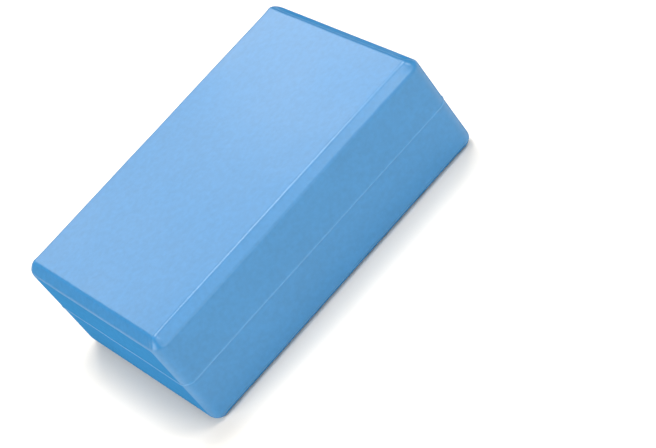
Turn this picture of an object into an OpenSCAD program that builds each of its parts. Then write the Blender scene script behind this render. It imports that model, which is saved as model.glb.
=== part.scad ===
// Yoga block: one moulded block of closed-cell EVA foam. A broad chamfer runs
// round the top and bottom faces and follows the rounded vertical edges, and
// the mould's fine parting line stands proud of the sides at half height.
// Millimetres. The block lies on its largest face, with the origin at the
// centre of that face, the length along X and +Z up.

/* [Block] */
// Length of the block
block_length = 228.6; // [150:0.1:320]
// Width of the block
block_width = 152.4; // [80:0.1:200]
// Thickness of the block, from the bottom face to the top face
block_height = 76.2; // [40:0.1:130]

/* [Edges] */
// Size of the 45 degree chamfer, measured along each of the faces that it cuts
chamfer = 6; // [2:0.5:12]
// Radius of the flat face's own corners, seen from above
face_corner_radius = 2; // [1.5:0.5:20]
// Softening radius where the flat face turns into the chamfer
face_edge_radius = 3; // [0.5:0.1:3.5]
// Softening radius where the chamfer turns into the side
side_edge_radius = 3; // [0.5:0.1:3.5]

/* [Parting line] */
// Width of the raised line that the mould's two halves leave round the sides
line_width = 1.2; // [0.6:0.1:3]
// How far the line stands proud of the sides
line_height = 0.35; // [0.1:0.05:0.6]

/* [Hidden] */
$fa = 3;
$fs = 0.25;
arc_steps = 6; // straight steps along each small arc of the edge profile

// The chamfer keeps its width round the vertical edges, so their radius at the
// sides is the flat face's corner radius plus the chamfer.
corner_radius = face_corner_radius + chamfer;

// Half the length and half the width, between the centres of those radii.
post_x = block_length / 2 - corner_radius;
post_y = block_width / 2 - corner_radius;

// The parting line is a slice of a rod, with this radius and this centre on the
// edge profile. It shows this angle of the rod to each side of its crest.
line_radius = (pow(line_width / 2, 2) + pow(line_height, 2)) / (2 * line_height);
line_centre = corner_radius + line_height - line_radius;
line_angle = 2 * atan(2 * line_height / line_width);

// Points along an arc, from one angle to another.
function arc(centre, radius, from, to) =
    [for (i = [0:arc_steps])
        let (angle = from + (to - from) * i / arc_steps)
        centre + radius * [cos(angle), sin(angle)]];

// An edge of the profile turns by 45 degrees, so its softening arc touches both
// flats at this distance from where they would meet.
function reach(radius) = radius * tan(45 / 2);

// The lower half of the block's edge in section: out along the bottom face,
// round onto the chamfer and round again onto the side.
lower_edge = concat(
    arc([face_corner_radius - reach(face_edge_radius), face_edge_radius],
        face_edge_radius, -90, -45),
    arc([corner_radius - side_edge_radius, chamfer + reach(side_edge_radius)],
        side_edge_radius, -45, 0)
);

// The whole edge in section. X runs from the centre of a vertical edge's
// radius out to the side, and Y is the height.
module edge_profile() {
    last = len(lower_edge) - 1;
    polygon(concat(
        [[0, 0]],
        lower_edge,
        arc([line_centre, block_height / 2], line_radius, -line_angle, line_angle),
        [for (i = [last:-1:0]) [lower_edge[i].x, block_height - lower_edge[i].y]],
        [[0, block_height]]
    ));
}

// One side of the block: the edge profile pulled along X. Its outer face
// points along +Y.
module side_run(span) {
    rotate([90, 0, 90])
        linear_extrude(height = span, center = true)
            edge_profile();
}

// One vertical edge: the same profile spun through a quarter turn.
module corner_turn() {
    rotate_extrude(angle = 90) edge_profile();
}

module foam_block() {
    color("#5ca2dc")
        union() {
            translate([-post_x, -post_y, 0])
                cube([2 * post_x, 2 * post_y, block_height]);
            for (turn = [0, 180]) rotate([0, 0, turn]) {
                translate([0, post_y, 0]) side_run(2 * post_x);
                translate([post_x, 0, 0]) rotate([0, 0, -90]) side_run(2 * post_y);
                translate([post_x, post_y, 0]) corner_turn();
                translate([-post_x, post_y, 0]) rotate([0, 0, 90]) corner_turn();
            }
        }
}

foam_block();
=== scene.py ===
# %% [markdown]
# # A foam yoga block
# A yoga block is one moulded piece of closed-cell EVA foam, the light rubbery foam of sandals and
# play mats. This lesson builds the block's visible skin round a CAD solid of the same block, gives
# it a foam material, and lights it like a product on a white table.
#
# The CAD solid is the fixed frame. It says how large the block is and where it lies, so loading it
# comes first.

# %% Load the frame
import math

import bmesh
import bpy
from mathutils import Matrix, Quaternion, Vector


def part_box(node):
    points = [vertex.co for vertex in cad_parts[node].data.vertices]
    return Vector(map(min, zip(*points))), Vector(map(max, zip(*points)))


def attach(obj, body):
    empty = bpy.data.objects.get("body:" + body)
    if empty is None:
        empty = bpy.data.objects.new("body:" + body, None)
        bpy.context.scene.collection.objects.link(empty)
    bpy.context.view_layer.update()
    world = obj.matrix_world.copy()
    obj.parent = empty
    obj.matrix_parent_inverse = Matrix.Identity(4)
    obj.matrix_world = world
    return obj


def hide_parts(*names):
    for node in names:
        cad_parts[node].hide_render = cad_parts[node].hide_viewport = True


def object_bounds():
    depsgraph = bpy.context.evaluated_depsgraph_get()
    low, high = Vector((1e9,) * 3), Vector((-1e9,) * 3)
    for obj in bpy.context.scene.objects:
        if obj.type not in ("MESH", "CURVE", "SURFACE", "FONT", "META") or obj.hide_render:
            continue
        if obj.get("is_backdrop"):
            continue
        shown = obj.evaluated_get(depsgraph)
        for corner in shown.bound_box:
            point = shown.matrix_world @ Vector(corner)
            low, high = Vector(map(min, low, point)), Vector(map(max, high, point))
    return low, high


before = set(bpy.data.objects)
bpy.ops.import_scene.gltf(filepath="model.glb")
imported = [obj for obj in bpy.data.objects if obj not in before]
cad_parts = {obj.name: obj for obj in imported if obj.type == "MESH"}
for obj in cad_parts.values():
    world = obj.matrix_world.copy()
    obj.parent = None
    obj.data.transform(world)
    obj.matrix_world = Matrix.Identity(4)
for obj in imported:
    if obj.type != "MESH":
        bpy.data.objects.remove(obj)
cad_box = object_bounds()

MM = 0.001
block_low, block_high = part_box("foam_block")
print("CAD block, mm:", [round(side / MM, 1) for side in block_high - block_low])

# %% [markdown]
# ## The block's sizes
# The frame's box is measured over the parting line, the thin raised line that the two halves of a
# mould leave round a casting. The foam's own walls lie a little inside it. The sizes of the edges
# can't be read from a box, so they are repeated here as the CAD solid has them.

# %% Sizes
LINE_PROUD = 0.35 * MM
LINE_WIDTH = 1.2 * MM
CHAMFER = 6 * MM
CORNER_RADIUS = 8 * MM
FACE_EDGE_RADIUS = 3 * MM
SIDE_EDGE_RADIUS = 3 * MM

bottom, top = block_low.z, block_high.z
middle = (bottom + top) / 2
wall_x = block_high.x - LINE_PROUD
wall_y = block_high.y - LINE_PROUD
print("Foam walls, mm:", round(2 * wall_x / MM, 1), "x", round(2 * wall_y / MM, 1))

# %% [markdown]
# ## Choosing what an operator works on
# Blender's modelling operators act on whatever is selected. By hand you would click edges. In a
# script it is safer to choose them by a rule, such as "every edge that lies in the top face". The
# helper below clears the selection in edit mode, then selects each edge or vertex that passes a test.

# %% Selection helpers
TINY = 0.01 * MM


def select(kind, test):
    """In edit mode, selects the edges or verts of the block that pass the test, and nothing else."""
    bpy.ops.mesh.select_mode(type="VERT" if kind == "verts" else "EDGE")
    bpy.ops.mesh.select_all(action="DESELECT")
    mesh = bmesh.from_edit_mesh(bpy.context.object.data)
    chosen = [part for part in getattr(mesh, kind) if test(part)]
    for part in chosen:
        part.select_set(True)
    bmesh.update_edit_mesh(bpy.context.object.data)
    return len(chosen)


def lies_at(edge, heights):
    """Whether both ends of an edge lie at one of these heights."""
    return any(all(abs(v.co.z - height) < TINY for v in edge.verts) for height in heights)


def upright(edge):
    """Whether an edge runs straight up."""
    start, end = edge.verts
    return (start.co.xy - end.co.xy).length < TINY


# %% [markdown]
# ## The moulded shape
# The mould gives the block three kinds of edge: large round vertical edges, a flat 45 degree
# chamfer round each big face, and small softened corners on both sides of the chamfer. All are
# bevels of a box, so the box comes first and then the bevels, from the largest to the smallest.
# Doing the vertical edges first lets the chamfer run round them as an even band.

# %% Box and bevels
ARC_STEPS = 12
SMALL_ARC_STEPS = 4

bpy.ops.object.select_all(action="DESELECT")
bpy.ops.mesh.primitive_cube_add(
    size=1, location=(0, 0, middle), scale=(2 * wall_x, 2 * wall_y, top - bottom)
)
block = bpy.context.object
block.name = "foam_skin"
bpy.ops.object.transform_apply(location=True, rotation=True, scale=True)


def reach(radius):
    """How far along each flat a softening arc starts, where the surface turns by 45 degrees."""
    return radius * math.tan(math.radians(45 / 2))


def bevel(offset, segments):
    """Cuts the selected edges back by this offset, in this many steps."""
    bpy.ops.mesh.bevel(offset_type="OFFSET", offset=offset, segments=segments, affect="EDGES")


bpy.ops.object.mode_set(mode="EDIT")
select("edges", upright)
bevel(CORNER_RADIUS, ARC_STEPS)
select("edges", lambda edge: lies_at(edge, (bottom, top)))
bevel(CHAMFER, 1)
select("edges", lambda edge: lies_at(edge, (bottom + CHAMFER, top - CHAMFER)))
bevel(reach(SIDE_EDGE_RADIUS), SMALL_ARC_STEPS)
select("edges", lambda edge: lies_at(edge, (bottom, top)))
bevel(reach(FACE_EDGE_RADIUS), SMALL_ARC_STEPS)
print("After the bevels:", len(bmesh.from_edit_mesh(block.data).faces), "faces")

# %% [markdown]
# ## The parting line
# Foam is pressed into the seam between the mould's halves, and leaves a fine raised line there. It
# starts as seven slices close round the half height. The three inner ones are pushed outwards along
# their normals, and the middle one a little more, which gives a low rounded ridge. The outer four
# stay where they are. They pin down the foot of the ridge, which a later rounding would spread.

# %% Parting line
LINE_SHOULDER = 0.4 * MM
SHOULDER_PROUD = 0.27 * MM
LINE_FOOT = 0.2 * MM


def slice_block(place, normal):
    """Cuts the whole block along a plane and keeps both halves."""
    bpy.ops.mesh.select_all(action="SELECT")
    bpy.ops.mesh.bisect(plane_co=place, plane_no=normal)


slice_block((0, 0, middle), (0, 0, 1))
for offset in (LINE_SHOULDER, LINE_WIDTH / 2, LINE_WIDTH / 2 + LINE_FOOT):
    slice_block((0, 0, middle + offset), (0, 0, 1))
    slice_block((0, 0, middle - offset), (0, 0, 1))
line_heights = (middle - LINE_SHOULDER, middle, middle + LINE_SHOULDER)
line_edges = select("edges", lambda edge: lies_at(edge, line_heights))
print("Edges in the line's shoulders and crest:", line_edges)
bpy.ops.transform.shrink_fatten(value=SHOULDER_PROUD)
select("edges", lambda edge: lies_at(edge, (middle,)))
bpy.ops.transform.shrink_fatten(value=LINE_PROUD - SHOULDER_PROUD)

# %% [markdown]
# ## A finer mesh
# The big faces are still single polygons, and a polygon can't bend in its middle. Slicing the block
# along a grid of planes gives it an even net of small faces, which a later step can push about.
#
# Slices close beside each rounded edge do a second job. Smooth shading blends the direction of
# neighbouring faces, so a large flat face next to a small round one looks blown up. A narrow strip
# between them keeps that blend narrow.

# %% Grid of slices
CELL = 6 * MM
STRIP = 0.5 * MM
CHAMFER_SHARES = (0, 0.35, 0.65, 1)
WALL_SLICES = 4


def even_places(end, cell):
    """Places from minus the end to the end, about one cell apart."""
    count = round(2 * end / cell)
    return [-end + 2 * end * step / count for step in range(count + 1)]


for axis, wall in (((1, 0, 0), wall_x), ((0, 1, 0), wall_y)):
    face_edge = wall - CHAMFER - reach(FACE_EDGE_RADIUS) - STRIP
    for place in even_places(wall - CORNER_RADIUS - STRIP, CELL) + [-face_edge, face_edge]:
        slice_block(Vector(axis) * place, axis)

chamfer_top = reach(FACE_EDGE_RADIUS) * math.cos(math.radians(45)) + STRIP / 2
chamfer_end = CHAMFER - reach(SIDE_EDGE_RADIUS) * math.cos(math.radians(45)) - STRIP / 2
depths = [(1 - share) * chamfer_top + share * chamfer_end for share in CHAMFER_SHARES]
wall_start = CHAMFER + reach(SIDE_EDGE_RADIUS) + STRIP
depths += [wall_start + CELL * step for step in range(WALL_SLICES + 1)]
for depth in depths:
    slice_block((0, 0, top - depth), (0, 0, 1))
    slice_block((0, 0, bottom + depth), (0, 0, 1))
bpy.ops.mesh.select_all(action="SELECT")
bpy.ops.mesh.normals_make_consistent(inside=False)
print("With the net:", len(bmesh.from_edit_mesh(block.data).faces), "faces")

# %% [markdown]
# ## Fuller corners
# Where the chamfer runs round a vertical edge it is a piece of a cone, which looks sharp and
# machined. Foam swells when it leaves the hot mould, so its corners look a little fuller than that.
# Here the middle of each cone is pushed outwards. Proportional editing takes the neighbouring verts
# along, less and less with distance, so that the corner stays one soft form.

# %% Corners
CORNER_SWELL = 0.8 * MM
CORNER_REACH = 5 * MM
LEAST_TURN, MOST_TURN = 35, 55
LEAST_DEPTH, MOST_DEPTH = 0.3 * CHAMFER, 0.7 * CHAMFER


def in_cone_middle(vert):
    """Whether a vert lies near the middle of a cone that the chamfer makes at a corner."""
    along_x = abs(vert.co.x) - (wall_x - CORNER_RADIUS)
    along_y = abs(vert.co.y) - (wall_y - CORNER_RADIUS)
    depth = min(top - vert.co.z, vert.co.z - bottom)
    if min(along_x, along_y) <= 0:
        return False
    turn = math.degrees(math.atan2(along_y, along_x))
    return LEAST_TURN < turn < MOST_TURN and LEAST_DEPTH < depth < MOST_DEPTH


print("Verts in the cones' middles:", select("verts", in_cone_middle))
bpy.ops.transform.shrink_fatten(
    value=CORNER_SWELL,
    use_proportional_edit=True,
    proportional_edit_falloff="SMOOTH",
    proportional_size=CORNER_REACH,
)
bpy.ops.object.mode_set(mode="OBJECT")

# %% [markdown]
# ## Soft, uneven faces
# Moulded foam is never as flat as its mould, because it cools and shrinks unevenly. Here its faces
# swell and dip by up to 0.15 mm over a few centimetres. A subdivision rounds off the facets that the
# bevels left. Then a displace modifier, driven by a slow cloudy texture, moves the skin in and out
# along its normals. Both are applied, so that the shape is real and not only a shading trick.

# %% Subdivision and displacement
SWELL = 0.3 * MM
SWELL_SPACING = 45 * MM


def apply_modifier(modifier):
    """Turns a modifier of the active object into plain mesh."""
    bpy.ops.object.modifier_apply(modifier=modifier.name)


rounding = block.modifiers.new("rounding", "SUBSURF")
rounding.levels = 1
rounding.render_levels = 1
apply_modifier(rounding)

clouds = bpy.data.textures.new("swell", "CLOUDS")
clouds.noise_scale = SWELL_SPACING
clouds.noise_depth = 1
swell = block.modifiers.new("swell", "DISPLACE")
swell.texture = clouds
swell.texture_coords = "LOCAL"
swell.strength = SWELL
swell.mid_level = 0.5
apply_modifier(swell)

bpy.ops.object.select_all(action="DESELECT")
block.select_set(True)
bpy.context.view_layer.objects.active = block
bpy.ops.object.shade_smooth()
print("Finished skin:", len(block.data.polygons), "faces")

# %% [markdown]
# ## Colours and nodes
# A colour picked on a screen is an sRGB colour, and Blender's shaders reckon in linear light. One
# function turns a hex colour into linear values. A material is a tree of nodes, and a second helper
# adds a node, fills in its settings and links what feeds it, which keeps the tree easy to read.

# %% Colour and node helpers
def linear(hex_colour):
    """Turns an sRGB hex colour into the linear colour that a shader takes."""
    channels = [int(hex_colour[start:start + 2], 16) / 255 for start in (1, 3, 5)]
    return [c / 12.92 if c <= 0.04045 else ((c + 0.055) / 1.055) ** 2.4 for c in channels] + [1]


def add_node(tree, kind, values=None, links=None, **settings):
    """Adds a node with these settings and input values, and links what feeds its inputs."""
    node = tree.nodes.new(kind)
    for name, setting in settings.items():
        setattr(node, name, setting)
    for name, value in (values or {}).items():
        node.inputs[name].default_value = value
    for name, source in (links or {}).items():
        tree.links.new(source, node.inputs[name])
    return node


# %% [markdown]
# ## Closed-cell EVA foam
# EVA is ethylene-vinyl acetate, a rubbery plastic. Blown full of tiny closed bubbles and pressed in
# a hot mould it gets a thin, smooth skin, and the dye runs right through it. To the eye that is a
# flat, even colour with a satin sheen, a very faint cloudiness, and no sharp mirror images.
#
# - **Colour**: two close shades of one blue, mixed by a slow cloud and a fine mottle. The crest of
#   the parting line is painted a paler blue, a painted highlight that draws the line as a light
#   ridge.
# - **Bumps**: the bubbles under the skin are 0.2 to 0.5 mm across, too fine to show from here, so
#   they are drawn about four times as coarse, as a bump a hundredth of a millimetre high.
# - **Polish**: the skin copies the mould's finish, which is a little duller in some places than in
#   others. The same slow cloud moves the roughness over a narrow range.
# - **Gloss**: EVA's index of refraction is 1.48. On a smooth plastic the mirror image grows strong
#   at a glancing angle. On foam each small bump hides the one behind it, so the sheen fades instead.
#   Layer Weight's Facing says how glancing the view is, and lowers the specular level.

# %% Foam material
FOAM_DEEP = "#3679aa"
FOAM_PALE = "#3a81b6"
# Painted highlight: a paler blue along the crest of the parting line.
CREST_HIGHLIGHT_BLUE = "#6aa6d6"
CREST_HIGHLIGHT_SHARE = 0.35
CREST_HIGHLIGHT_FULL_WITHIN = 0.2 * LINE_WIDTH
CREST_HIGHLIGHT_GONE_AT = 0.6 * LINE_WIDTH
CLOUD_SPACING = 45 * MM
MOTTLE_SPACING = 3 * MM
MOTTLE_WEIGHT = 2
SHADE_MIDDLE = 0.5 + 0.5 * MOTTLE_WEIGHT
SHADE_SPREAD = 0.6
BUBBLE_SPACING = 1.6 * MM
BUMP_HEIGHT = 0.01 * MM
EVA_IOR = 1.48
ROUGHNESS_LOW = 0.28
ROUGHNESS_HIGH = 0.34
FULL_SHEEN = 0.5
SHEEN_FADES_FROM = 0.45
SHEEN_GONE_AT = 0.81
# The Mix node's colour inputs and colour output lie at these places.
MIX_A, MIX_B, MIX_RESULT = 6, 7, 2

foam = bpy.data.materials.new("closed_cell_eva_foam")
foam.use_nodes = True
tree = foam.node_tree
skin = tree.nodes["Principled BSDF"]
skin.inputs["IOR"].default_value = EVA_IOR
coordinates = add_node(tree, "ShaderNodeTexCoord").outputs["Object"]

cloud = add_node(
    tree, "ShaderNodeTexNoise", {"Scale": 1 / CLOUD_SPACING, "Detail": 2}, {"Vector": coordinates}
)
mottle = add_node(
    tree, "ShaderNodeTexNoise", {"Scale": 1 / MOTTLE_SPACING, "Detail": 1}, {"Vector": coordinates}
)
both = add_node(
    tree,
    "ShaderNodeMath",
    {1: MOTTLE_WEIGHT},
    {0: mottle.outputs["Fac"], 2: cloud.outputs["Fac"]},
    operation="MULTIPLY_ADD",
)
shade = add_node(
    tree,
    "ShaderNodeMapRange",
    {"From Min": SHADE_MIDDLE - SHADE_SPREAD, "From Max": SHADE_MIDDLE + SHADE_SPREAD},
    {"Value": both.outputs["Value"]},
)
dye = add_node(
    tree,
    "ShaderNodeMix",
    {MIX_A: linear(FOAM_DEEP), MIX_B: linear(FOAM_PALE)},
    {0: shade.outputs["Result"]},
    data_type="RGBA",
)

height = add_node(tree, "ShaderNodeSeparateXYZ", links={"Vector": coordinates}).outputs["Z"]
off_line = add_node(
    tree, "ShaderNodeMath", {1: middle}, {0: height}, operation="SUBTRACT"
).outputs["Value"]
distance = add_node(
    tree, "ShaderNodeMath", links={0: off_line}, operation="ABSOLUTE"
).outputs["Value"]
# Painted highlight along the parting line's crest, full near the crest and gone within a line's
# width.
crest_highlight = add_node(
    tree,
    "ShaderNodeMapRange",
    {"From Min": CREST_HIGHLIGHT_FULL_WITHIN, "From Max": CREST_HIGHLIGHT_GONE_AT, "To Min": CREST_HIGHLIGHT_SHARE, "To Max": 0},
    {"Value": distance},
)
highlighted_dye = add_node(
    tree,
    "ShaderNodeMix",
    {MIX_B: linear(CREST_HIGHLIGHT_BLUE)},
    {0: crest_highlight.outputs["Result"], MIX_A: dye.outputs[MIX_RESULT]},
    data_type="RGBA",
)
tree.links.new(highlighted_dye.outputs[MIX_RESULT], skin.inputs["Base Color"])

bubbles = add_node(
    tree, "ShaderNodeTexNoise", {"Scale": 1 / BUBBLE_SPACING, "Detail": 0}, {"Vector": coordinates}
)
dimples = add_node(
    tree, "ShaderNodeBump", {"Distance": BUMP_HEIGHT}, {"Height": bubbles.outputs["Fac"]}
)
tree.links.new(dimples.outputs["Normal"], skin.inputs["Normal"])

polish = add_node(
    tree,
    "ShaderNodeMapRange",
    {"To Min": ROUGHNESS_LOW, "To Max": ROUGHNESS_HIGH},
    {"Value": cloud.outputs["Fac"]},
)
tree.links.new(polish.outputs["Result"], skin.inputs["Roughness"])

view = add_node(tree, "ShaderNodeLayerWeight")
sheen = add_node(
    tree,
    "ShaderNodeMapRange",
    {
        "From Min": SHEEN_FADES_FROM,
        "From Max": SHEEN_GONE_AT,
        "To Min": FULL_SHEEN,
        "To Max": 0,
    },
    {"Value": view.outputs["Facing"]},
    interpolation_type="SMOOTHSTEP",
)
tree.links.new(sheen.outputs["Result"], skin.inputs["Specular IOR Level"])
block.data.materials.append(foam)
print("Foam colour, linear:", [round(c, 3) for c in linear(FOAM_DEEP)[:3]])


# %% [markdown]
# ## Joining the frame
# The skin takes the place of the CAD solid in pictures, while the solid stays in the frame for
# measuring. It is solid foam all through, and it rides on the frame's only body.

# %% Frame
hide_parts("foam_block")
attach(block, "root")
print("The skin stands in for foam_block and rides on root")

# %% [markdown]
# ## The table
# Products are often shown on white paper or a white table, lit until it is almost pure white. A
# matt floor with no gloss does that job. It lies at the skin's lowest point, so that the block
# stands on it and throws a soft contact shadow.

# %% Floor
FLOOR_RADIUS = 6
FLOOR_COLOUR = "#fcf6ed"
FLOOR_ROUGHNESS = 0.8

lowest = min(vert.co.z for vert in block.data.vertices)
bpy.ops.mesh.primitive_circle_add(
    vertices=64, radius=FLOOR_RADIUS, fill_type="NGON", location=(0, 0, lowest)
)
floor = bpy.context.object
floor.name = "floor"
floor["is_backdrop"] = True

paper = bpy.data.materials.new("matt_white_paper")
paper.use_nodes = True
paper_skin = paper.node_tree.nodes["Principled BSDF"]
paper_skin.inputs["Base Color"].default_value = linear(FLOOR_COLOUR)
paper_skin.inputs["Roughness"].default_value = FLOOR_ROUGHNESS
paper_skin.inputs["Specular IOR Level"].default_value = 0
floor.data.materials.append(paper)
print("Floor at height, mm:", round(lowest / MM, 2))

# %% [markdown]
# ## The camera
# A long lens from 1.4 m away keeps the block's edges nearly parallel, which suits a plain block.
# The camera aims at a target low in the block, from a direction given by two angles: azimuth round
# the block and elevation above the table. Last it is rolled about its own line of sight, which
# shows the block as if it were propped up on one end.

# %% Camera
CAMERA_TARGET = Vector((22.6, -29.9, 6.0)) * MM
CAMERA_AZIMUTH = math.radians(-15.31)
CAMERA_ELEVATION = math.radians(37.13)
CAMERA_ROLL = math.radians(-38.64)
CAMERA_DISTANCE = 1.4007
CAMERA_LENS = 128.3

towards_camera = Vector((
    math.sin(CAMERA_AZIMUTH) * math.cos(CAMERA_ELEVATION),
    -math.cos(CAMERA_AZIMUTH) * math.cos(CAMERA_ELEVATION),
    math.sin(CAMERA_ELEVATION),
))
bpy.ops.object.camera_add(location=CAMERA_TARGET + towards_camera * CAMERA_DISTANCE)
camera = bpy.context.object
camera.name = "camera"
camera.rotation_mode = "QUATERNION"
roll = Quaternion((0, 0, 1), CAMERA_ROLL)
camera.rotation_quaternion = towards_camera.to_track_quat("Z", "Y") @ roll
camera.data.lens = CAMERA_LENS
bpy.context.scene.camera = camera
print("Camera stands at, mm:", [round(place / MM) for place in camera.location])

# %% [markdown]
# ## Studio lights
# A satin surface shows soft pictures of the lamps round it, so each lamp is placed for the face
# that mirrors it towards the camera. The ones at the back give the top face its pale sheen. The one
# overhead draws a fine light line along the top face's rounded edges. Those at the front light the
# long side and its chamfer, and the one on the left lights the end. All are large and soft, so that
# no shadow has a hard edge.

# %% Lights
def softbox(name, place, width, radiance):
    """Adds a square lamp that faces the block. Its radiance is how bright its surface looks."""
    bpy.ops.object.light_add(type="AREA", location=place)
    lamp = bpy.context.object
    lamp.name = name
    lamp.data.shape = "SQUARE"
    lamp.data.size = width
    lamp.data.energy = math.pi * width**2 * radiance
    towards_block = Vector((0, 0, middle)) - Vector(place)
    lamp.rotation_euler = towards_block.to_track_quat("-Z", "Y").to_euler()


softbox("back", (0.05, 1.35, 0.95), 0.5, 4.1)
softbox("back_right", (0.52, 1.2, 0.9), 0.4, 6.2)
softbox("overhead", (0.3, 0.3, 1.5), 0.6, 14.0)
softbox("front_high", (0.0, -0.9, 1.3), 0.8, 2.6)
softbox("front_right", (0.63, -0.75, 1.13), 0.4, 12.5)
softbox("front", (0.0, -1.5, 0.5), 0.9, 3.5)
softbox("left", (-1.3, 0.0, 0.5), 1.0, 4.5)
print("Lamps:", len(bpy.data.lights))

# %% [markdown]
# ## The room
# A dim white world stands for light that the studio's walls send back. The Standard view transform
# shows the picture's colours as they are, where Blender's default would wash a strong blue out.

# %% World and view
WORLD_STRENGTH = 0.1

world = bpy.data.worlds.new("studio")
world.use_nodes = True
backdrop = world.node_tree.nodes["Background"]
backdrop.inputs["Color"].default_value = (1, 1, 1, 1)
backdrop.inputs["Strength"].default_value = WORLD_STRENGTH
bpy.context.scene.world = world
bpy.context.scene.view_settings.view_transform = "Standard"
print("World strength:", WORLD_STRENGTH)

# %% [markdown]
# ## Measuring the result
# Last, the box round everything visible is printed beside the box that the frame had before.

# %% Sizes and the end
visual_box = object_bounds()
for name, box in (("CAD", cad_box), ("Visual", visual_box)):
    print(name, "box, mm:", [[round(place / MM, 1) for place in corner] for corner in box])
